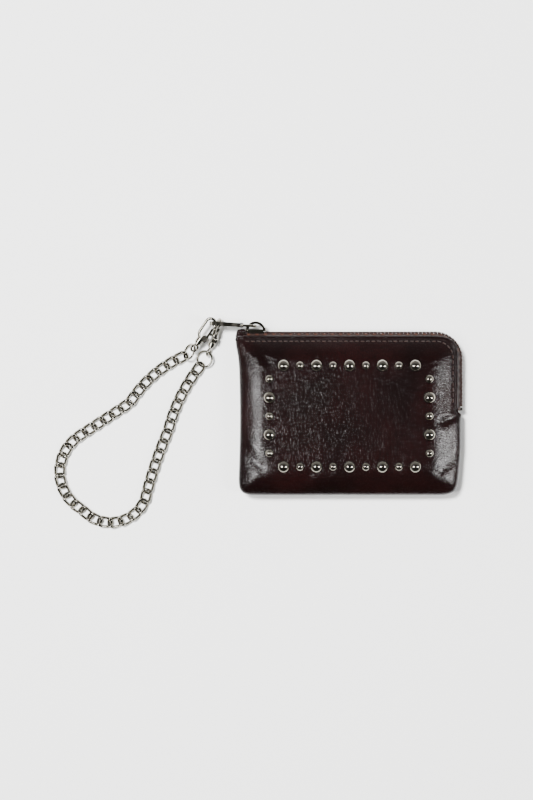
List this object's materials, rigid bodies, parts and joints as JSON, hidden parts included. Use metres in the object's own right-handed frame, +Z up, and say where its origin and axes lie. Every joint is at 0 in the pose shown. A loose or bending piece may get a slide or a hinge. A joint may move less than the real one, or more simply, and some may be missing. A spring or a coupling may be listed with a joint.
{
  "type": "chain wallet",
  "caption": "Studded leather zip wallet lying on its back, with a chain strap that two trigger clasps hook onto its zip pull.",
  "frame": {"origin": "on the resting plane, under the middle of the pouch", "axes": "+X along the zipped top towards the zip's corner, +Y out of the zipped top, +Z up out of the studded face"},
  "size_m": [0.218, 0.1128, 0.0191],
  "materials": {
    "leather": "glossy crackled patent leather",
    "lining": "plain woven",
    "tape": "woven zip tape",
    "teeth": "satin moulded",
    "thread": "twisted sewing thread",
    "nickel": "polished nickel plate",
    "spring_steel": "rolled"
  },
  "bodies": {
    "pouch": {"front_panel": "leather", "back_panel": "leather", "front_lining": "lining", "back_lining": "lining", "zip_tape_front": "tape", "zip_tape_back": "tape", "zip_teeth_front": "teeth", "zip_teeth_back": "teeth", "zip_stops": "nickel", "zip_end_tab": "tape", "topstitch_front": "thread", "topstitch_back": "thread", "studs_large": "nickel", "studs_small": "nickel", "stud_backs_large": "nickel", "stud_backs_small": "nickel"},
    "slider": {"slider": "nickel"},
    "pull_link": {"pull_link": "nickel"},
    "pull_bar": {"pull_bar": "nickel"},
    "strap_a": {"swivel_a": "nickel", "chain_a_near": "nickel"},
    "chain_a": {"chain_a_far": "nickel"},
    "strap_b": {"swivel_b": "nickel", "chain_b_near": "nickel"},
    "chain_b": {"chain_b_far": "nickel"},
    "clasp_a": {"hook_a": "nickel", "gate_pin_a": "nickel", "gate_spring_a": "spring_steel"},
    "gate_a": {"gate_a": "nickel"},
    "ring_a": {"ring_a": "nickel"},
    "clasp_b": {"hook_b": "nickel", "gate_pin_b": "nickel", "gate_spring_b": "spring_steel"},
    "gate_b": {"gate_b": "nickel"},
    "ring_b": {"ring_b": "nickel"}
  },
  "joints": [
    {"name": "zip_slide", "type": "slide", "parent": "pouch", "child": "slider", "axis": [1, 0, 0], "range_m": [0, 0.0851]},
    {"name": "pull_swing", "type": "hinge", "parent": "slider", "child": "pull_link", "pos_m": [-0.0497, 0.0462, 0.0085], "axis": [0, 0, 1], "range_deg": [-150, 0]},
    {"name": "pull_bar_swing", "type": "hinge", "parent": "pull_link", "child": "pull_bar", "pos_m": [-0.05719, 0.04664, 0.0085], "axis": [0, 0, 1], "range_deg": [-20, 4]},
    {"name": "strap_spread", "type": "hinge", "parent": "pull_bar", "child": "strap_a", "pos_m": [-0.07116, 0.04748, 0.0085], "axis": [0, 0, -1], "range_deg": [-3.5, 10]},
    {"name": "strap_b_spread", "type": "hinge", "parent": "pull_bar", "child": "strap_b", "pos_m": [-0.07116, 0.04748, 0.0085], "axis": [0, 0, 1], "range_deg": [-3.51, 10.01]},
    {"name": "chain_a_bend", "type": "hinge", "parent": "strap_a", "child": "chain_a", "pos_m": [-0.11723, 0.00526, 0.00185], "axis": [0, 0, 1], "range_deg": [-7.01, 20.01]},
    {"name": "chain_b_bend", "type": "hinge", "parent": "strap_b", "child": "chain_b", "pos_m": [-0.09663, -0.00959, 0.00185], "axis": [0, 0, -1], "range_deg": [-7.01, 20.01]},
    {"name": "clasp_a_turn", "type": "hinge", "parent": "strap_a", "child": "clasp_a", "pos_m": [-0.07355, 0.04762, 0.0096], "axis": [-0.5514, -0.8141, -0.1824], "range_deg": [-10, 10]},
    {"name": "gate_a_open", "type": "hinge", "parent": "clasp_a", "child": "gate_a", "pos_m": [-0.07608, 0.0396, 0.0081], "axis": [-0.1023, -0.151, 0.9832], "range_deg": [0, 12], "stiffness_Nm_per_rad": 0.002, "springref_deg": -17.19},
    {"name": "ring_a_spin", "type": "hinge", "parent": "strap_a", "child": "ring_a", "pos_m": [-0.08513, 0.03261, 0.00428], "axis": [-0.7418, 0.3173, 0.5907], "continuous": true},
    {"name": "clasp_b_turn", "type": "hinge", "parent": "strap_b", "child": "clasp_b", "pos_m": [-0.06966, 0.04739, 0.00465], "axis": [-0.3206, -0.9434, -0.0849], "range_deg": [-10, 10]},
    {"name": "gate_b_open", "type": "hinge", "parent": "clasp_b", "child": "gate_b", "pos_m": [-0.07165, 0.03923, 0.00623], "axis": [-0.9089, 0.2812, 0.3079], "range_deg": [0, 12], "stiffness_Nm_per_rad": 0.002, "springref_deg": -17.19},
    {"name": "ring_b_spin", "type": "hinge", "parent": "strap_b", "child": "ring_b", "pos_m": [-0.07701, 0.02886, 0.00258], "axis": [-0.3719, 0.0468, 0.9271], "continuous": true}
  ],
  "couplings": [
    {"joint": "zip_slide", "follows": "pull_swing", "m_per_rad": -0.032468},
    {"joint": "strap_b_spread", "follows": "strap_spread", "ratio": 1},
    {"joint": "chain_a_bend", "follows": "strap_spread", "ratio": 2},
    {"joint": "chain_b_bend", "follows": "strap_spread", "ratio": 2}
  ]
}
